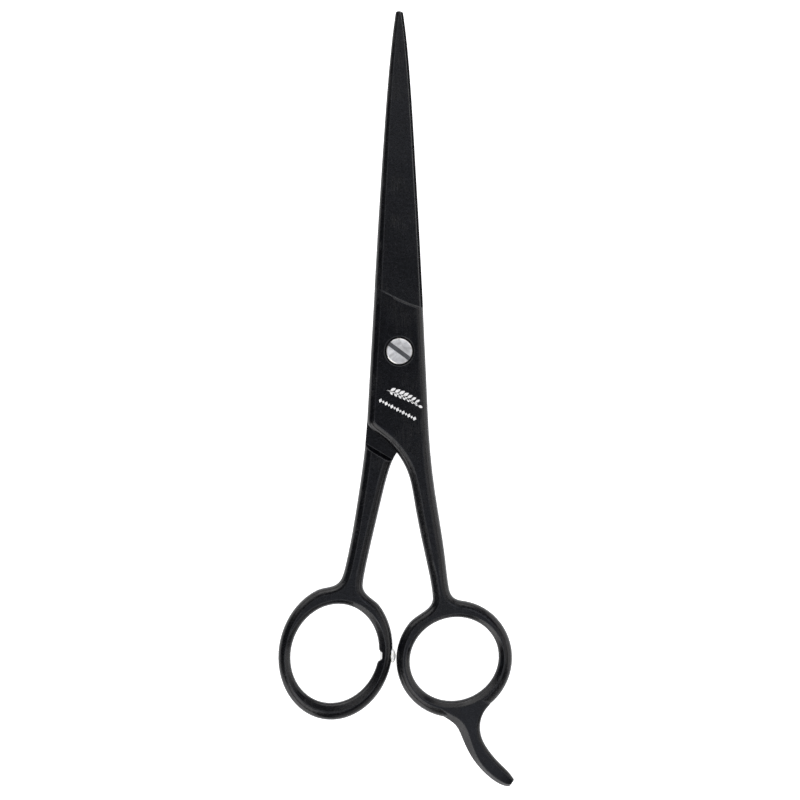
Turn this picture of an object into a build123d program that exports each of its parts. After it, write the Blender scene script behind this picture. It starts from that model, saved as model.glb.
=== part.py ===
from build123d import *
import os
from math import asin, cos, degrees, radians, sin

# Hair cutting shears, 7.5 inch class, closed, lying on the back of the thumb half.
# Millimetres. The origin is on the pivot's axis, on the resting face. +X points to the
# finger ring, +Y to the blade tips and +Z up to the screw head.
#
# The two halves are built alike and turned half a turn about the blades' axis, so the
# shared functions work with a side: FINGER (+1) lies on top and has its spine at -X,
# THUMB (-1) lies below and has its spine at +X. Their outlines use u = side * x.
FINGER = 1
THUMB = -1

# Thickness of the stack
body_thickness = 2.50        # each half around the pivot and at the root of its blade
body_gap = 0.06              # play between the halves, taken up by the friction washer
handle_thickness = 4.50      # shanks and rings, centred on the stack
tip_thickness = 1.25         # blade at its tip
stack_height = 2 * body_thickness + body_gap
below_stack = -1.0           # blanks and cutters start here
through_stack = stack_height + 2
handle_inset = (stack_height - handle_thickness) / 2
inner_face = {FINGER: stack_height - body_thickness, THUMB: body_thickness}
outer_face = {FINGER: stack_height, THUMB: 0.0}

# Lengths from the pivot's axis, along Y
tip_y = 91.45
plunge_spine_y = 14.0        # the grind reaches full thickness here, at the spine
blank_end_y = 24.0           # the body's blank runs past the grind and is cut back
neck_y = -22.0               # the outer face starts to drop to the handle
handle_level_y = -56.0       # and is level again from here
handle_end_y = -101.0

# Roundings
outline_round = 2.2          # outer edges of body, shank and ring
hole_bevel_depth = 1.0       # bevel around each face of the ring holes
hole_bevel_round = 1.2       # blends the bevel into the hole's wall
crest_angle = 6.0            # each rounding meets its face at this angle, as a crest
crest_drop = outline_round * (1 - cos(radians(crest_angle)))

# Blades. Each row: y, the finger blade's spine and the thumb blade's spine, from the axis.
blade_stations = (
    (-5.0, 7.92, 7.17),
    (10.0, 7.08, 6.46),
    (26.7, 6.17, 5.66),
    (59.0, 4.10, 3.83),
    (81.6, 2.22, 2.19),
    (tip_y, 0.98, 0.98),
)
edge_setback = 0.5           # a cutting edge stays inside the other blade's spine
edge_land = 0.2              # blunt land left on the cutting edge
bevel_width_root = 0.25
bevel_width_tip = 0.15
face_slope_root = 0.14       # fall of the ground face from the crest to the bevel
face_slope_tip = 0.22
tip_corner = 0.8
plunge_chamfer_depth = 0.25  # breaks the body's edge along the grind's end line
plunge_chamfer_run = 0.50
plunge_chamfer_start = -1.5

# Finger rest. Each row: inside edge, outside edge, half height, width of the inside chamfer.
rest_stations = (
    ((8.8, -96.1), (21.8, -93.0), 2.25, 2.30),
    ((11.8, -98.2), (24.2, -95.2), 2.25, 2.15),
    ((14.9, -100.35), (22.3, -98.0), 2.25, 2.05),
    ((16.3, -102.5), (21.7, -101.1), 2.22, 2.00),
    ((17.6, -105.6), (22.2, -104.0), 2.15, 1.75),
    ((20.2, -110.25), (24.0, -107.3), 2.05, 1.15),
    ((23.9, -114.3), (27.3, -111.1), 1.90, 0.95),
    ((27.4, -116.6), (29.6, -113.4), 1.70, 0.85),
    ((29.7, -117.0), (30.9, -115.2), 1.35, 0.70),
)
rest_nose = 0.30             # half height of the inside edge
rest_outside_round = 1.1
rest_end_round = 0.3

# Body
finger_spine_foot = (-8.66, -18.1)   # where the finger half's spine meets its diagonal
thumb_spine_foot = (7.74, -17.6)
shoulder = ((8.46, -26.4), (2.60, -29.9))   # full thickness begins here, in (u, y)
shoulder_run = 1.1                          # plan width of the shoulder's slope
shoulder_taper = 25.8                       # its angle from upright

# Rings: centre, radii along and across the long axis, and that axis from +X
finger_ring_centre = (14.76, -82.72)
finger_ring_radii = (15.87, 15.52)
finger_ring_angle = 58.3
finger_hole_centre = (14.76, -82.77)
finger_hole_radii = (12.11, 11.10)
finger_hole_angle = 24.0
finger_bevel_width = 1.35
finger_bevel_shift = (0.2, -0.4)     # the bevel is wider towards the ring's bottom
thumb_ring_centre = (-17.20, -80.98)
thumb_ring_radii = (18.32, 15.26)
thumb_ring_angle = 78.0
thumb_hole_centre = (-17.40, -81.28)
thumb_hole_radii = (13.50, 11.70)
thumb_hole_angle = 70.7
thumb_bevel_width = 1.70
thumb_bevel_shift = (0.2, -0.55)

# Pivot
head_radius = 3.48
head_height = 1.45
slot_width = 1.15
slot_depth = 0.85
slot_angle = -36.5
counterbore_radius = 3.95
counterbore_depth = 1.60
shoulder_radius = 2.50
bore_clearance = 0.03
thread_radius = 2.00
thread_clearance = 0.05
thread_depth = 0.25
thread_pitch = 0.5
thread_turns = 3
thread_end = 0.20            # the screw ends this far inside the resting face
head_chamfer = 0.22
spring_thickness = 0.20
spring_radius = 3.35
spring_bore = 2.60
spring_height = 0.28
washer_radius = 5.50
washer_thickness = 0.40
washer_recess_depth = 0.36
washer_play = 0.06
axial_play = 0.02
counterbore_floor = outer_face[FINGER] - counterbore_depth
head_seat = counterbore_floor + spring_height + axial_play
head_top = head_seat + head_height
screw_seat = inner_face[THUMB] - washer_recess_depth + axial_play
thread_flanks = [
    (thread_radius - thread_depth * (step % 2), thread_end + thread_pitch * (step + 1) / 2)
    for step in range(2 * thread_turns)
]

# Ring bumper, pushed through the thumb ring's wall along X
bumper_y = -81.9
spot_face_x = -2.15
spot_face_radius = 2.0
bumper_head_radius = 1.85
bumper_head_x = -0.96        # top of the head, just short of the finger ring
dome_rise = 0.6
dome_radius = (dome_rise**2 + bumper_head_radius**2) / (2 * dome_rise)
bumper_stem_radius = 1.18
bumper_play = 0.02
button_seat_x = -4.62        # bottom of the button's counterbore in the ring hole's wall
button_x = -5.27             # rim of the button's shallow dome
button_radius = 1.90
button_rise = 0.15
button_dome_radius = (button_rise**2 + button_radius**2) / (2 * button_rise)
bumper_plane = Plane((0, bumper_y, stack_height / 2))
bumper_axis = Axis((0, bumper_y, stack_height / 2), (1, 0, 0))


def side_view(side, allowance):
    """Side profile of a half as a bar along X, thicker by the allowance on both faces."""
    outer = Plane(origin=(0, 0, outer_face[side]), x_dir=(0, 1, 0), z_dir=(-side, 0, 0))
    near = -allowance
    handle_near = handle_inset - allowance
    handle_far = handle_inset + handle_thickness + allowance
    with BuildPart() as bar:
        with BuildSketch(outer):
            with BuildLine():
                body = Line((blank_end_y, near), (neck_y, near))
                fall = Spline(body @ 1, (handle_level_y, handle_near), tangents=(body % 1, body % 1))
                Polyline(
                    fall @ 1,
                    (handle_end_y, handle_near),
                    (handle_end_y, handle_far),
                    (blank_end_y, handle_far),
                    body @ 0,
                )
            make_face()
        extrude(amount=40, both=True)
    return bar.part


def handle_blank(side, plan):
    """Body, shank and ring of one half at full thickness, with all long edges rounded."""
    rough_bar = side_view(side, crest_drop)
    finished_bar = side_view(side, 0)
    with BuildPart() as blank:
        extrude(plan, amount=through_stack)
        add(rough_bar, mode=Mode.INTERSECT)
        rims = blank.edges() - blank.edges().filter_by(Axis.Z) - blank.edges().filter_by(Axis.X)
        fillet(rims, radius=outline_round)
        add(finished_bar, mode=Mode.INTERSECT)
    return blank.part


def ring_hole(centre, radii, angle, bevel_width, bevel_shift):
    """Elliptical finger hole as a cutter, flared at both faces of the ring."""
    past = 0.4
    handle_top = handle_inset + handle_thickness
    with BuildPart() as cutter:
        for level, share in (
            (handle_inset - past, 1 + past / hole_bevel_depth),
            (handle_inset + hole_bevel_depth, 0),
            (handle_top - hole_bevel_depth, 0),
            (handle_top + past, 1 + past / hole_bevel_depth),
        ):
            growth = bevel_width * share
            with BuildSketch(Plane.XY.offset(level)):
                with Locations(Vector(centre) + Vector(bevel_shift) * share):
                    Ellipse(radii[0] + growth, radii[1] + growth, rotation=angle)
        loft(ruled=True)
        rims = cutter.edges().filter_by(lambda rim: rim.is_closed).sort_by(Axis.Z)
        fillet(rims[1:3], radius=hole_bevel_round)
    return cutter.part


def plunge_plan(side, level, toward_tip, setback):
    """Sketch of everything on one side of the grind's end line, at a level."""
    far_y = tip_y + 5 if toward_tip else neck_y - 20
    with BuildSketch(Plane.XY.offset(level)) as plan:
        with BuildLine():
            line = Spline(
                (-12.0 * side, 18.9 - setback),
                (-1.0 * side, 14.4 - setback),
                (4.1 * side, 12.3 - setback),
                (8.0 * side, 11.5 - setback),
            )
            Polyline(line @ 1, (12 * side, far_y), (-12 * side, far_y), line @ 0)
        make_face()
    return plan.sketch


def plunge_side(side, toward_tip):
    """Everything on one side of the grind's end line, as a plate through the stack."""
    with BuildPart() as plate:
        extrude(plunge_plan(side, below_stack, toward_tip, 0), amount=through_stack)
    return plate.part


def plunge_chamfer(side):
    """Cutter for the chamfer on the body's edge along the grind's end line."""
    slope = plunge_chamfer_run / plunge_chamfer_depth
    past = 0.15
    with BuildPart() as cutter:
        for depth in (plunge_chamfer_depth + past, -past):
            level = outer_face[side] - side * depth
            add(plunge_plan(side, level, True, (plunge_chamfer_depth - depth) * slope))
        loft(ruled=True)
        with Locations(((plunge_chamfer_start + 10) * side, 10, outer_face[side])):
            Box(20, 20, 4, mode=Mode.INTERSECT)
    return cutter.part


def inner_cut(side):
    """What is cut from the inner side of a half above its shoulder."""
    (outer_u, outer_y), (crotch_u, crotch_y) = shoulder
    slope = (outer_y - crotch_y) / (outer_u - crotch_u)
    run_y = shoulder_run * (1 + slope**2) ** 0.5
    rise = outer_face[side] - side * (handle_inset + handle_thickness)
    depth = abs(rise - inner_face[side])
    foot_y = crotch_y + run_y
    half_width = 16.0
    with BuildPart() as cut:
        with BuildSketch(Plane.XY.offset(inner_face[side])):
            with BuildLine():
                Polyline(
                    ((crotch_u - half_width) * side, foot_y - slope * half_width),
                    ((crotch_u + half_width) * side, foot_y + slope * half_width),
                    ((crotch_u + half_width) * side, tip_y + 5),
                    ((crotch_u - half_width) * side, tip_y + 5),
                    close=True,
                )
            make_face()
        extrude(amount=-side * 2 * depth, taper=-shoulder_taper)
    return cut.part


def blade_blank(side):
    """Blade lofted along Y: spine rounding, ground face, bevel and cutting edge."""
    with BuildPart() as blank:
        for y, finger_spine, thumb_spine in blade_stations:
            own_spine, other_spine = (finger_spine, thumb_spine)[::side]
            toward_tip = (y - plunge_spine_y) / (tip_y - plunge_spine_y)
            crest_height = body_thickness + (tip_thickness - body_thickness) * toward_tip
            rounding = outline_round * crest_height / body_thickness
            crest_u = -own_spine + rounding * (1 - sin(radians(crest_angle)))
            wall_height = crest_height - rounding * cos(radians(crest_angle))
            edge_u = other_spine - edge_setback
            bevel_u = edge_u - bevel_width_root - (bevel_width_tip - bevel_width_root) * toward_tip
            face_slope = face_slope_root + (face_slope_tip - face_slope_root) * toward_tip
            bevel_height = crest_height - face_slope * (bevel_u - crest_u)
            section = Plane(origin=(0, y, inner_face[side]), x_dir=(side, 0, 0), z_dir=(0, -1, 0))
            with BuildSketch(section):
                with BuildLine():
                    spine_round = CenterArc(
                        (-own_spine + rounding, wall_height),
                        rounding,
                        90 + crest_angle,
                        90 - crest_angle,
                    )
                    Polyline(
                        spine_round @ 1,
                        (-own_spine, -1),
                        (edge_u, -1),
                        (edge_u, edge_land),
                        (bevel_u, bevel_height),
                        spine_round @ 0,
                    )
                make_face()
        loft()
        with BuildSketch(Plane.XY.offset(below_stack)):
            with BuildLine():
                corner = CenterArc((-0.35 * side, tip_y - tip_corner), tip_corner, 90, 90 * side)
                Polyline(
                    corner @ 1,
                    (-4 * side, tip_y - tip_corner),
                    (-4 * side, tip_y + 5),
                    (4 * side, tip_y + 5),
                    (4 * side, tip_y),
                    corner @ 0,
                )
            make_face()
        extrude(amount=through_stack, mode=Mode.SUBTRACT)
        add(plunge_side(side, toward_tip=False), mode=Mode.SUBTRACT)
    return blank.part


# Plan of the finger half's body, shank and ring, clockwise from the end of its blank
with BuildSketch(Plane.XY.offset(below_stack)) as finger_plan:
    with BuildLine():
        side_edge = Line((5.83, blank_end_y), thumb_spine_foot)
        shank_outer = Spline(
            side_edge @ 1,
            (9.36, -36.0),
            (11.42, -49.1),
            (12.38, -56.0),
            (13.27, -63.2),
            tangents=(side_edge % 1, (0.16, -1.0)),
        )
        ring = EllipticalCenterArc(
            finger_ring_centre,
            *finger_ring_radii,
            start_angle=24.0,
            arc_size=-299.0,
            rotation=finger_ring_angle,
        )
        Spline(shank_outer @ 1, (14.4, -66.0), ring @ 0, tangents=(shank_outer % 1, ring % 0))
        shank_inner = Spline(
            (8.95, -66.0),
            (7.50, -57.5),
            (4.05, -40.5),
            (2.15, -32.2),
            (-0.50, -27.5),
            (-3.62, -24.1),
            (-6.40, -21.95),
            tangents=((-0.08, 1.0), (-0.80, 0.60)),
        )
        Spline(ring @ 1, (6.0, -70.4), shank_inner @ 0, tangents=(ring % 1, shank_inner % 0))
        spine = Line(finger_spine_foot, (-6.28, blank_end_y))
        Spline(shank_inner @ 1, spine @ 0, tangents=(shank_inner % 1, spine % 0))
        Line(spine @ 1, side_edge @ 0)
    make_face()

# Plan of the thumb half's body, shank and ring, anticlockwise from the end of its blank
with BuildSketch(Plane.XY.offset(below_stack)) as thumb_plan:
    with BuildLine():
        side_edge = Line((-6.16, blank_end_y), (-8.62, -17.6))
        shank_outer = Spline(
            side_edge @ 1,
            (-9.52, -27.9),
            (-11.30, -40.5),
            (-14.50, -57.7),
            (-15.15, -60.1),
            tangents=(side_edge % 1, (-0.33, -1.0)),
        )
        ring = EllipticalCenterArc(
            thumb_ring_centre,
            *thumb_ring_radii,
            start_angle=33.0,
            arc_size=290.0,
            rotation=thumb_ring_angle,
        )
        Spline(shank_outer @ 1, (-17.0, -62.7), ring @ 0, tangents=(shank_outer % 1, ring % 0))
        shank_inner = Spline(
            (-9.80, -62.6),
            (-8.97, -57.7),
            (-5.02, -40.5),
            (-2.78, -31.9),
            (-0.70, -27.3),
            (3.20, -23.6),
            (6.00, -21.4),
            tangents=((0.10, 1.0), (0.80, 0.60)),
        )
        Spline(ring @ 1, (-7.6, -66.4), shank_inner @ 0, tangents=(ring % 1, shank_inner % 0))
        spine = Line(thumb_spine_foot, (5.83, blank_end_y))
        Spline(shank_inner @ 1, spine @ 0, tangents=(shank_inner % 1, spine % 0))
        Line(spine @ 1, side_edge @ 0)
    make_face()


# Finger rest: a curved tail that leaves the finger ring at its lower right. Its sections
# stand across the tail, with a broad chamfer on the inside and a rounding outside.
with BuildPart() as finger_rest:
    for inside, outside, half_height, chamfer_width in rest_stations:
        across = Vector(outside) - Vector(inside)
        width = across.length
        outside_round = min(rest_outside_round, 0.24 * width)
        outside_u = width - outside_round
        outside_z = half_height - outside_round * cos(radians(crest_angle))
        sweep_angle = 90 - crest_angle
        section = Plane((*inside, stack_height / 2), x_dir=across, z_dir=across.cross(Vector(0, 0, 1)))
        with BuildSketch(section):
            with BuildLine():
                top_out = CenterArc((outside_u, outside_z), outside_round, sweep_angle, -sweep_angle)
                low_out = CenterArc((outside_u, -outside_z), outside_round, 0, -sweep_angle)
                Line(top_out @ 1, low_out @ 0)
                Polyline(
                    low_out @ 1,
                    (chamfer_width, -half_height),
                    (0, -rest_nose),
                    (0, rest_nose),
                    (chamfer_width, half_height),
                    top_out @ 0,
                )
            make_face()
    loft()
    fillet(finger_rest.faces().sort_by(Axis.X)[-1].edges(), radius=rest_end_round)


def forging(side, plan):
    """One half without its ring hole and its pivot."""
    handle = handle_blank(side, plan)
    ground_away = plunge_side(side, toward_tip=True)
    plunge_edge = plunge_chamfer(side)
    blade = blade_blank(side)
    thinning = inner_cut(side)
    with BuildPart() as half:
        add(handle)
        add(ground_away, mode=Mode.SUBTRACT)
        add(plunge_edge, mode=Mode.SUBTRACT)
        add(blade)
        add(thinning, mode=Mode.SUBTRACT)
    return half.part


finger_forging = forging(FINGER, finger_plan.sketch)
finger_hole = ring_hole(
    finger_hole_centre,
    finger_hole_radii,
    finger_hole_angle,
    finger_bevel_width,
    finger_bevel_shift,
)
thumb_forging = forging(THUMB, thumb_plan.sketch)
thumb_hole = ring_hole(
    thumb_hole_centre,
    thumb_hole_radii,
    thumb_hole_angle,
    thumb_bevel_width,
    thumb_bevel_shift,
)

# Finger half: counterbore for the screw head, plain bore for its shoulder
with BuildPart() as finger_side_half:
    add(finger_forging)
    add(finger_rest.part)
    add(finger_hole, mode=Mode.SUBTRACT)
    with Locations((0, 0, outer_face[FINGER])):
        CounterBoreHole(
            radius=shoulder_radius + bore_clearance,
            counter_bore_radius=counterbore_radius,
            counter_bore_depth=counterbore_depth,
        )

# Thumb half: recess for the friction washer, threaded hole, and the bumper's seat
with BuildPart() as thumb_side_half:
    add(thumb_forging)
    add(thumb_hole, mode=Mode.SUBTRACT)
    with Locations((0, 0, inner_face[THUMB])):
        CounterBoreHole(
            radius=thread_radius + thread_clearance,
            counter_bore_radius=washer_radius + washer_play,
            counter_bore_depth=washer_recess_depth,
        )
    with BuildSketch(bumper_plane):
        with BuildLine():
            Polyline(
                (button_x - 1, 0),
                (button_x - 1, button_radius + bumper_play),
                (button_seat_x, button_radius + bumper_play),
                (button_seat_x, bumper_stem_radius + bumper_play),
                (spot_face_x, bumper_stem_radius + bumper_play),
                (spot_face_x, spot_face_radius),
                (0, spot_face_radius),
                (0, 0),
                close=True,
            )
        make_face()
    revolve(axis=bumper_axis, mode=Mode.SUBTRACT)

# Pivot screw: slotted head, shoulder that the finger half turns on, thread in the thumb half
with BuildPart() as pivot_screw:
    with BuildSketch(Plane.XZ):
        with BuildLine():
            Polyline(
                (0, thread_end),
                (thread_radius - thread_depth, thread_end),
                *thread_flanks,
                (thread_radius - thread_depth, screw_seat),
                (shoulder_radius, screw_seat),
                (shoulder_radius, head_seat),
                (head_radius, head_seat),
                (head_radius, head_top - head_chamfer),
                (head_radius - head_chamfer, head_top),
                (0, head_top),
                close=True,
            )
        make_face()
    revolve(axis=Axis.Z)
    with Locations(Location((0, 0, head_top), (0, 0, slot_angle))):
        Box(2 * head_radius + 1, slot_width, 2 * slot_depth, mode=Mode.SUBTRACT)

# Spring washer: a shallow cone under the screw head that keeps the halves pressed together
with BuildPart() as spring_washer:
    with BuildSketch(Plane.XZ):
        with BuildLine():
            Polyline(
                (spring_bore, head_seat - axial_play - spring_thickness),
                (spring_radius, counterbore_floor),
                (spring_radius, counterbore_floor + spring_thickness),
                (spring_bore, head_seat - axial_play),
                close=True,
            )
        make_face()
    revolve(axis=Axis.Z)

# Friction washer: a flat nylon ring in the thumb half's recess
with BuildPart() as friction_washer:
    with BuildSketch(Plane.XY.offset(inner_face[THUMB] - washer_recess_depth)):
        Circle(washer_radius)
        Circle(shoulder_radius + washer_play, mode=Mode.SUBTRACT)
    extrude(amount=washer_thickness)

# Ring bumper: domed head in the gap between the rings, stem, and button in the ring hole
with BuildPart() as ring_bumper:
    with BuildSketch(bumper_plane):
        with BuildLine():
            dome = CenterArc(
                (bumper_head_x - dome_radius, 0),
                dome_radius,
                0,
                degrees(asin(bumper_head_radius / dome_radius)),
            )
            shank = Polyline(
                dome @ 1,
                (spot_face_x, bumper_head_radius),
                (spot_face_x, bumper_stem_radius),
                (button_seat_x, bumper_stem_radius),
                (button_seat_x, button_radius),
                (button_x, button_radius),
            )
            button = CenterArc(
                (button_x - button_rise + button_dome_radius, 0),
                button_dome_radius,
                180 - degrees(asin(button_radius / button_dome_radius)),
                degrees(asin(button_radius / button_dome_radius)),
            )
            Line(button @ 1, dome @ 0)
        make_face()
    revolve(axis=bumper_axis)

finger_side_half.part.label = "finger_side_half"
thumb_side_half.part.label = "thumb_side_half"
pivot_screw.part.label = "pivot_screw"
spring_washer.part.label = "spring_washer"
friction_washer.part.label = "friction_washer"
ring_bumper.part.label = "ring_bumper"

os.makedirs("parts", exist_ok=True)
export_step(finger_side_half.part, "parts/finger_side_half.step")
export_step(thumb_side_half.part, "parts/thumb_side_half.step")
export_step(pivot_screw.part, "parts/pivot_screw.step")
export_step(spring_washer.part, "parts/spring_washer.step")
export_step(friction_washer.part, "parts/friction_washer.step")
export_step(ring_bumper.part, "parts/ring_bumper.step")
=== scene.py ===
import math

import bmesh
import bpy
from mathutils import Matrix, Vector


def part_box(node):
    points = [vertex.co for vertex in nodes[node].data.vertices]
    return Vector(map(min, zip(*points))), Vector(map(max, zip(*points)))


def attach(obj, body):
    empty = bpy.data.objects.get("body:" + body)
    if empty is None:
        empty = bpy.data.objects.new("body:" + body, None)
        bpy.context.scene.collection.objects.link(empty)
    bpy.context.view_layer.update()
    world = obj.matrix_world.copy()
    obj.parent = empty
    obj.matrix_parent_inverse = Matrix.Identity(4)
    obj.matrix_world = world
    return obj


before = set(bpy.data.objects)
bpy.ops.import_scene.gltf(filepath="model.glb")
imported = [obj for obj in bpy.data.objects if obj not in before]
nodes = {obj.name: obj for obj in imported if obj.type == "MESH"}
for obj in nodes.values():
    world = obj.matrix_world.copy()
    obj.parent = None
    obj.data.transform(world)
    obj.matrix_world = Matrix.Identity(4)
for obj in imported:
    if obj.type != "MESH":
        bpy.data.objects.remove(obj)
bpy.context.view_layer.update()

MM = 0.001


# ---------------------------------------------------------------- node helpers
class Tree:
    """A material's node tree with short ways to add and join nodes."""

    def __init__(self, name):
        self.material = bpy.data.materials.new(name)
        self.material.use_nodes = True
        self.tree = self.material.node_tree
        self.tree.nodes.clear()
        self.shader = self.add("ShaderNodeBsdfPrincipled")
        output = self.add("ShaderNodeOutputMaterial")
        self.link(self.shader.outputs["BSDF"], output.inputs["Surface"])
        self.place = self.add("ShaderNodeTexCoord").outputs["Object"]

    def add(self, kind, **settings):
        node = self.tree.nodes.new(kind)
        for name, value in settings.items():
            setattr(node, name, value)
        return node

    def link(self, source, target):
        if isinstance(source, (int, float)):
            target.default_value = source
        else:
            self.tree.links.new(source, target)

    def math(self, operation, first, second=0.0):
        node = self.add("ShaderNodeMath", operation=operation)
        for socket, value in zip(node.inputs, (first, second)):
            self.link(value, socket)
        return node.outputs[0]

    def noise(self, scale, detail=2.0, rough=0.5, at=None, distortion=0.0):
        """Noise over the piece's own axes. The scale is in features per metre."""
        node = self.add("ShaderNodeTexNoise")
        self.link(at or self.place, node.inputs["Vector"])
        node.inputs["Scale"].default_value = scale
        node.inputs["Detail"].default_value = detail
        node.inputs["Roughness"].default_value = rough
        node.inputs["Distortion"].default_value = distortion
        return node.outputs["Fac"]

    def stretched(self, scale, turn=(0.0, 0.0, 0.0)):
        node = self.add("ShaderNodeMapping")
        self.link(self.place, node.inputs["Vector"])
        node.inputs["Scale"].default_value = scale
        node.inputs["Rotation"].default_value = turn
        return node.outputs["Vector"]

    def spread(self, value, low, high, to_low=0.0, to_high=1.0):
        """The value, moved from the range low..high to to_low..to_high and held inside it."""
        node = self.add("ShaderNodeMapRange", clamp=True)
        for socket, number in zip(node.inputs[:5], (value, low, high, to_low, to_high)):
            self.link(number, socket)
        return node.outputs[0]

    def mix(self, share, first, second):
        node = self.add("ShaderNodeMix", data_type="RGBA")
        self.link(share, node.inputs["Factor"])
        for socket, colour in ((node.inputs[6], first), (node.inputs[7], second)):
            if isinstance(colour, tuple):
                socket.default_value = (*colour, 1.0)
            else:
                self.link(colour, socket)
        return node.outputs[2]

    def bump(self, height, strength, distance, normal=None):
        node = self.add("ShaderNodeBump")
        self.link(height, node.inputs["Height"])
        node.inputs["Strength"].default_value = strength
        node.inputs["Distance"].default_value = distance
        if normal is not None:
            self.link(normal, node.inputs["Normal"])
        return node.outputs["Normal"]


# ---------------------------------------------------------------- materials
COAT_DEEP = (0.0004, 0.0005, 0.0009)
COAT_PLAIN = (0.0008, 0.0009, 0.0015)
COAT_MOTTLE = (0.0026, 0.0029, 0.0042)
COAT_SPECK = (0.018, 0.018, 0.021)
# pale grey used both for worn corners and for the painted highlight along crests and edges
COAT_WORN_AND_HIGHLIGHT = (0.060, 0.061, 0.064)
COAT_SCRATCH = (0.0002, 0.0002, 0.0003)
COAT_REFLECTION = 0.27
EDGE_RADIUS = 0.40 * MM
COAT_RELIEF = 0.022 * MM
HAIRLINES = ((0.62, 1.0), (-0.35, 1.3), (1.45, 0.8))     # direction in radians, fineness


def black_coat():
    """Satin black coating on steel: fine speckle, faint hairlines, a painted highlight along
    every crest and edge, and lighter wear on the sharper corners.
    """
    t = Tree("black_coat_satin")
    bevel = t.add("ShaderNodeBevel", samples=8)
    bevel.inputs["Radius"].default_value = EDGE_RADIUS
    facing = t.add("ShaderNodeVectorMath", operation="DOT_PRODUCT")
    t.link(bevel.outputs["Normal"], facing.inputs[0])
    t.link(t.add("ShaderNodeNewGeometry").outputs["Normal"], facing.inputs[1])
    crest_highlight_mask = t.spread(facing.outputs["Value"], 0.9996, 0.9975)
    corner = t.spread(facing.outputs["Value"], 0.990, 0.955)
    broad = t.noise(90.0, 3.0)
    grain = t.noise(2400.0, 3.0, 0.6)
    mottle = t.noise(1100.0, 2.0, 0.6)
    speck = t.spread(t.noise(1700.0, 1.0, 0.5), 0.67, 0.73)
    rub_and_highlight = t.spread(t.noise(260.0, 4.0, 0.7), 0.34, 0.60)
    coat = t.mix(broad, COAT_DEEP, COAT_PLAIN)
    coat = t.mix(t.spread(mottle, 0.38, 0.66), coat, COAT_MOTTLE)
    coat = t.mix(t.math("MULTIPLY", speck, 0.5), coat, COAT_SPECK)
    # painted highlight: every crest and edge is lightened towards pale grey as if it caught
    # light; the sharper corners also get lighter wear
    painted_crest_highlight = t.math("MULTIPLY", crest_highlight_mask, t.spread(rub_and_highlight, 0.0, 1.0, 0.16, 0.34))
    worn = t.math("MULTIPLY", corner, t.spread(rub_and_highlight, 0.0, 1.0, 0.04, 0.26))
    coat = t.mix(t.math("ADD", painted_crest_highlight, worn), coat, COAT_WORN_AND_HIGHLIGHT)
    hairs = []
    for turn, fineness in HAIRLINES:
        line = t.noise(60.0, 1.0, 0.4, t.stretched((40.0 * fineness, 1.6, 1.0), (0.0, 0.0, turn)))
        line = t.math("ABSOLUTE", t.math("SUBTRACT", line, 0.5))
        hairs.append(t.spread(line, 0.008, 0.0))
    scratch = t.math("MAXIMUM", t.math("MAXIMUM", hairs[0], hairs[1]), hairs[2])
    scratch = t.math("MULTIPLY", scratch, t.spread(t.noise(140.0, 2.0), 0.54, 0.64))
    coat = t.mix(t.math("MULTIPLY", scratch, 0.7), coat, COAT_SCRATCH)
    t.link(coat, t.shader.inputs["Base Color"])
    rough = t.spread(grain, 0.3, 0.7, 0.21, 0.30)
    rough = t.math("ADD", rough, t.spread(broad, 0.3, 0.7, -0.03, 0.03))
    rough = t.math("ADD", rough, t.math("MULTIPLY", scratch, 0.25))
    t.link(rough, t.shader.inputs["Roughness"])
    height = t.math("SUBTRACT", t.math("MULTIPLY", grain, 0.6), t.math("MULTIPLY", scratch, 0.9))
    height = t.math("ADD", height, mottle)
    t.link(t.bump(height, 1.0, COAT_RELIEF, bevel.outputs["Normal"]), t.shader.inputs["Normal"])
    t.shader.inputs["Specular IOR Level"].default_value = COAT_REFLECTION
    return t.material


SLOT_SHADE_FROM = 0.10 * MM   # below the head's top, where painted shade darkens the steel of the slot and the head's side
SLOT_SHADE_TO = 0.32 * MM
HEAD_SWELL = 0.45 * MM


def screw_steel():
    """Nickel-plated steel, tumbled to a soft shine, with painted shade below the head's face, in
    the slot and down its side.
    """
    t = Tree("screw_steel_tumbled")
    head_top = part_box("pivot_screw")[1].z
    split = t.add("ShaderNodeSeparateXYZ")
    t.link(t.place, split.inputs[0])
    slot_shade_mask = t.spread(split.outputs["Z"], head_top - SLOT_SHADE_FROM, head_top - SLOT_SHADE_TO)
    cloud = t.noise(330.0, 3.0, 0.55, distortion=0.8)
    steel = t.mix(t.spread(cloud, 0.35, 0.65), (0.56, 0.55, 0.53), (0.93, 0.92, 0.90))
    # painted shade: below the head's face the steel turns dark grey
    t.link(t.mix(slot_shade_mask, steel, (0.17, 0.17, 0.17)), t.shader.inputs["Base Color"])
    t.shader.inputs["Metallic"].default_value = 1.0
    scuff = t.noise(900.0, 4.0, 0.7, t.stretched((1.0, 9.0, 1.0), (0.0, 0.0, 0.4)))
    t.link(t.spread(scuff, 0.3, 0.7, 0.34, 0.50), t.shader.inputs["Roughness"])
    swell = t.noise(420.0, 1.0)
    normal = t.bump(swell, 1.0, HEAD_SWELL)
    t.link(t.bump(scuff, 0.3, 0.012 * MM, normal), t.shader.inputs["Normal"])
    return t.material


def spring_steel():
    """Blued spring steel, rolled along one direction."""
    t = Tree("spring_steel_rolled")
    roll = t.noise(700.0, 3.0, 0.6, t.stretched((1.0, 12.0, 1.0)))
    t.link(t.mix(roll, (0.30, 0.30, 0.32), (0.44, 0.44, 0.45)), t.shader.inputs["Base Color"])
    t.shader.inputs["Metallic"].default_value = 1.0
    t.link(t.spread(roll, 0.3, 0.7, 0.28, 0.42), t.shader.inputs["Roughness"])
    t.link(t.bump(roll, 0.3, 0.01 * MM), t.shader.inputs["Normal"])
    return t.material


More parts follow.
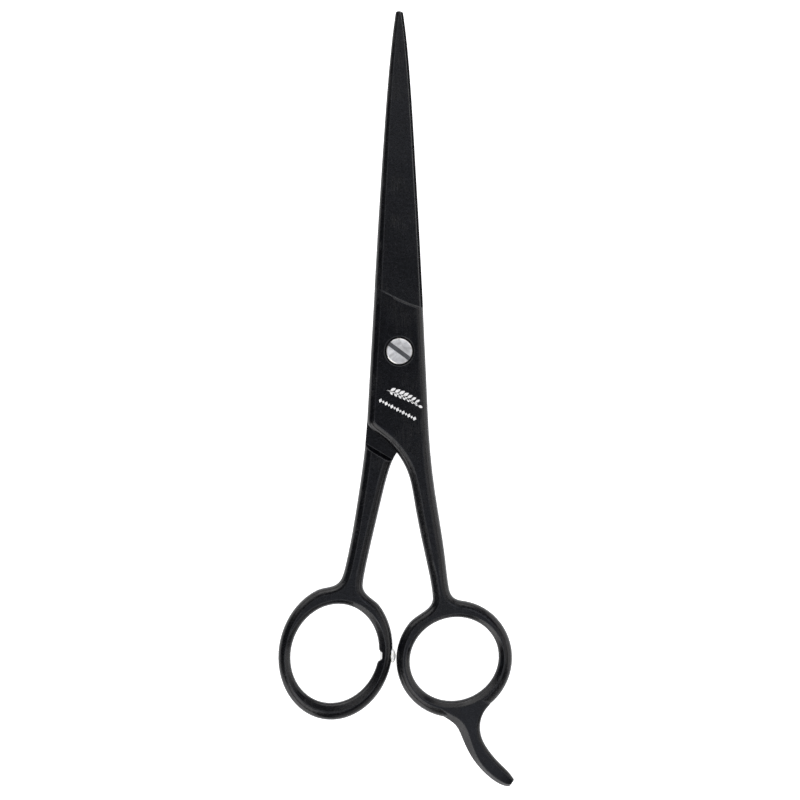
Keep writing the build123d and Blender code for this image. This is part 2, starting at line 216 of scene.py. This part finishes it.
def nylon():
    """Natural nylon: off-white, slightly cloudy, with a fine moulded grain."""
    t = Tree("nylon_natural")
    cloud = t.noise(260.0, 3.0)
    t.link(t.mix(cloud, (0.86, 0.86, 0.84), (0.93, 0.93, 0.91)), t.shader.inputs["Base Color"])
    grain = t.noise(3200.0, 2.0)
    t.link(t.spread(grain, 0.3, 0.7, 0.38, 0.50), t.shader.inputs["Roughness"])
    t.link(t.bump(grain, 0.3, 0.01 * MM), t.shader.inputs["Normal"])
    t.shader.inputs["Subsurface Weight"].default_value = 0.15
    t.shader.inputs["Subsurface Radius"].default_value = (0.0006, 0.0006, 0.0005)
    return t.material


def mark_ink():
    """White pad-printed ink, a little uneven."""
    t = Tree("mark_ink_white")
    patchy = t.spread(t.noise(1800.0, 3.0, 0.65), 0.30, 0.60)
    t.link(t.mix(patchy, (0.62, 0.62, 0.62), (0.92, 0.92, 0.91)), t.shader.inputs["Base Color"])
    t.link(t.spread(patchy, 0.0, 1.0, 0.62, 0.48), t.shader.inputs["Roughness"])
    t.link(t.bump(patchy, 0.4, 0.006 * MM), t.shader.inputs["Normal"])
    return t.material


def floor_paper():
    """Matt studio paper."""
    t = Tree("studio_paper")
    fibre = t.noise(900.0, 3.0)
    t.link(t.mix(fibre, (0.86, 0.86, 0.86), (0.88, 0.88, 0.88)), t.shader.inputs["Base Color"])
    t.shader.inputs["Roughness"].default_value = 0.9
    t.shader.inputs["Specular IOR Level"].default_value = 0.1
    t.shader.inputs["Emission Color"].default_value = (1.0, 1.0, 1.0, 1.0)
    t.shader.inputs["Emission Strength"].default_value = 1.0
    return t.material


def give(node_name, material):
    """Put one material on every slot of a node."""
    for slot in nodes[node_name].material_slots:
        slot.material = material


coat = black_coat()
for name in ("finger_side_half", "thumb_side_half"):
    give(name, coat)
give("pivot_screw", screw_steel())
give("spring_washer", spring_steel())
plastic = nylon()
for name in ("friction_washer", "ring_bumper"):
    give(name, plastic)


# ---------------------------------------------------------------- printed mark
# A leafy sprig over a row of diamonds, on the finger half's face between the screw and
# the shank. Millimetres, along and across the mark's own line.
MARK_CENTRE = (0.75, -13.35)
MARK_TURN = math.radians(-25.0)
FACE_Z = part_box("finger_side_half")[1].z / MM     # the finger half's outer face
MARK_THICKNESS = 0.018
MARK_SUNK = 0.004             # how far the ink's underside lies inside the face
LEAF_PAIRS = 7
LEAF_PITCH = 1.22
DIAMONDS = 13
DIAMOND_PITCH = 0.86
DIAMOND_LARGE = 0.48
DIAMOND_SMALL = 0.32


def leaf(base, length, width, turn, steps=9):
    """Outline of a pointed leaf from its base point."""
    outline = []
    for side in (1, -1):
        for step in range(steps):
            share = step / steps if side > 0 else 1 - step / steps
            bulge = side * width / 2 * math.sin(math.pi * share) ** 0.85
            outline.append(
                (
                    base[0] + math.cos(turn) * share * length - math.sin(turn) * bulge,
                    base[1] + math.sin(turn) * share * length + math.cos(turn) * bulge,
                )
            )
    return outline


def stroke(start, end, sag, width, steps=24):
    """Outline of an arched line that tapers to both ends."""
    upper, lower = [], []
    for step in range(steps + 1):
        share = step / steps
        half = width / 2 * (0.12 + 0.88 * math.sin(math.pi * share))
        along = start[0] + (end[0] - start[0]) * share
        across = start[1] + (end[1] - start[1]) * share + sag * math.sin(math.pi * share)
        upper.append((along, across + half))
        lower.append((along, across - half))
    return upper + lower[::-1]


def mark_outlines():
    """The sprig's stem, its leaves in pairs and one at its end, then the diamonds."""
    outlines = [stroke((-4.9, 0.9), (4.6, 0.6), 0.45, 0.46)]
    for step in range(LEAF_PAIRS):
        arch = math.sin(math.pi * (step + 0.6) / (LEAF_PAIRS + 0.4))
        root = (-4.0 + LEAF_PITCH * step, 1.12 + 0.30 * arch)
        size = 1.0 - 0.055 * abs(step - 2)
        outlines.append(leaf(root, 1.75 * size, 0.84 * size, math.radians(48.0)))
        outlines.append(leaf(root, 1.45 * size, 0.76 * size, math.radians(-44.0)))
    outlines.append(leaf((4.45, 0.65), 1.3, 0.70, math.radians(4.0)))
    for step in range(DIAMONDS):
        size = DIAMOND_LARGE if step % 2 == 0 else DIAMOND_SMALL
        middle = (-5.3 + DIAMOND_PITCH * step, -2.35 - 0.045 * step)
        outlines.append(
            [
                (middle[0] + size, middle[1]),
                (middle[0], middle[1] + size * 1.25),
                (middle[0] - size, middle[1]),
                (middle[0], middle[1] - size * 1.25),
            ]
        )
    return outlines


def printed_mark():
    """The mark as thin closed slabs of ink that ride on the finger half."""
    mesh = bpy.data.meshes.new("printed_mark")
    shape = bmesh.new()
    low, high = FACE_Z - MARK_SUNK, FACE_Z + MARK_THICKNESS
    for outline in mark_outlines():
        rings = []
        for level in (low, high):
            ring = []
            for along, across in outline:
                x = MARK_CENTRE[0] + math.cos(MARK_TURN) * along - math.sin(MARK_TURN) * across
                y = MARK_CENTRE[1] + math.sin(MARK_TURN) * along + math.cos(MARK_TURN) * across
                ring.append(shape.verts.new((x * MM, y * MM, level * MM)))
            rings.append(ring)
        shape.faces.new(rings[1])
        shape.faces.new(rings[0][::-1])
        for here in range(len(outline)):
            after = (here + 1) % len(outline)
            shape.faces.new((rings[0][here], rings[0][after], rings[1][after], rings[1][here]))
    bmesh.ops.recalc_face_normals(shape, faces=shape.faces)
    shape.to_mesh(mesh)
    shape.free()
    mesh.materials.append(mark_ink())
    piece = bpy.data.objects.new("printed_mark", mesh)
    bpy.context.scene.collection.objects.link(piece)
    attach(piece, "finger_half")


printed_mark()


# ---------------------------------------------------------------- studio
FLOOR_HALF = 6.0
FLOOR_Z = -0.02 * MM          # just below the shears, so that no faces meet
floor_mesh = bpy.data.meshes.new("studio_floor")
floor_mesh.from_pydata(
    [
        (-FLOOR_HALF, -FLOOR_HALF, FLOOR_Z),
        (FLOOR_HALF, -FLOOR_HALF, FLOOR_Z),
        (FLOOR_HALF, FLOOR_HALF, FLOOR_Z),
        (-FLOOR_HALF, FLOOR_HALF, FLOOR_Z),
    ],
    [],
    [(0, 1, 2, 3)],
)
floor = bpy.data.objects.new("studio_floor", floor_mesh)
bpy.context.scene.collection.objects.link(floor)
floor_mesh.materials.append(floor_paper())

FRAME_WIDTH = 215.2 * MM      # width of the view, on the plane midway up the shears
VIEW_CENTRE = Vector((0.18 * MM, -13.1 * MM, 3.0 * MM))
LENS = 200.0                  # millimetres, as is the sensor's width
SENSOR = 36.0
camera_data = bpy.data.cameras.new("camera")
camera_data.lens = LENS
camera_data.sensor_width = SENSOR
camera = bpy.data.objects.new("camera", camera_data)
bpy.context.scene.collection.objects.link(camera)
camera.location = VIEW_CENTRE + Vector((0.0, 0.0, FRAME_WIDTH * LENS / SENSOR))
camera_data.clip_start = 0.01
camera_data.clip_end = 50.0
bpy.context.scene.camera = camera

COOL = (0.82, 0.87, 1.0)
NEUTRAL = (1.0, 0.985, 0.985)
BOX_DISTANCE = 0.95
CEILING = 1.10


def area_light(name, size, radiance, colour):
    """Rectangular light of a stated radiance that the camera doesn't see."""
    data = bpy.data.lights.new(name, "AREA")
    data.shape = "RECTANGLE"
    data.size, data.size_y = size
    data.energy = radiance * math.pi * size[0] * size[1]
    data.color = colour
    light = bpy.data.objects.new(name, data)
    bpy.context.scene.collection.objects.link(light)
    light.rotation_mode = "QUATERNION"
    light.visible_camera = False
    return light


def softbox(name, azimuth, elevation, size, radiance):
    """Neutral light aimed at the shears. Azimuth is measured from +X towards +Y, in degrees."""
    light = area_light(name, size, radiance, NEUTRAL)
    flat = math.cos(math.radians(elevation)) * BOX_DISTANCE
    away = Vector(
        (
            math.cos(math.radians(azimuth)) * flat,
            math.sin(math.radians(azimuth)) * flat,
            math.sin(math.radians(elevation)) * BOX_DISTANCE,
        )
    )
    light.location = VIEW_CENTRE + away
    light.rotation_quaternion = (-away).to_track_quat("-Z", "Y")


def overhead(name, x, y, size, radiance):
    """Cool light facing straight down from the ceiling."""
    light = area_light(name, size, radiance, COOL)
    light.location = Vector((x, y, CEILING))


overhead("overhead_near", 0.01, -0.26, (0.28, 0.34), 1.45)
overhead("overhead_near_right", 0.32, -0.26, (0.34, 0.34), 0.75)
overhead("overhead_near_left", -0.36, -0.27, (0.30, 0.40), 1.55)
overhead("overhead_far_right", 0.32, 0.38, (0.36, 0.34), 2.80)
softbox("right_high", 0.0, 52.0, (0.45, 0.36), 1.6)
softbox("right_low", 15.0, 18.0, (1.20, 0.50), 2.3)
softbox("far_mid", 90.0, 24.0, (0.80, 0.55), 2.6)
softbox("far_left", 128.0, 28.0, (0.65, 0.65), 2.6)
softbox("near_left_low", 227.0, 10.0, (0.80, 0.32), 4.6)
softbox("near_left_mid", 230.0, 49.0, (0.50, 0.50), 3.8)
softbox("near_right", 300.0, 20.0, (0.90, 0.45), 1.2)

world = bpy.data.worlds.new("studio")
world.use_nodes = True
background = world.node_tree.nodes["Background"]
background.inputs["Color"].default_value = (0.95, 0.97, 1.0, 1.0)
background.inputs["Strength"].default_value = 0.08
bpy.context.scene.world = world
bpy.context.scene.view_settings.view_transform = "Standard"
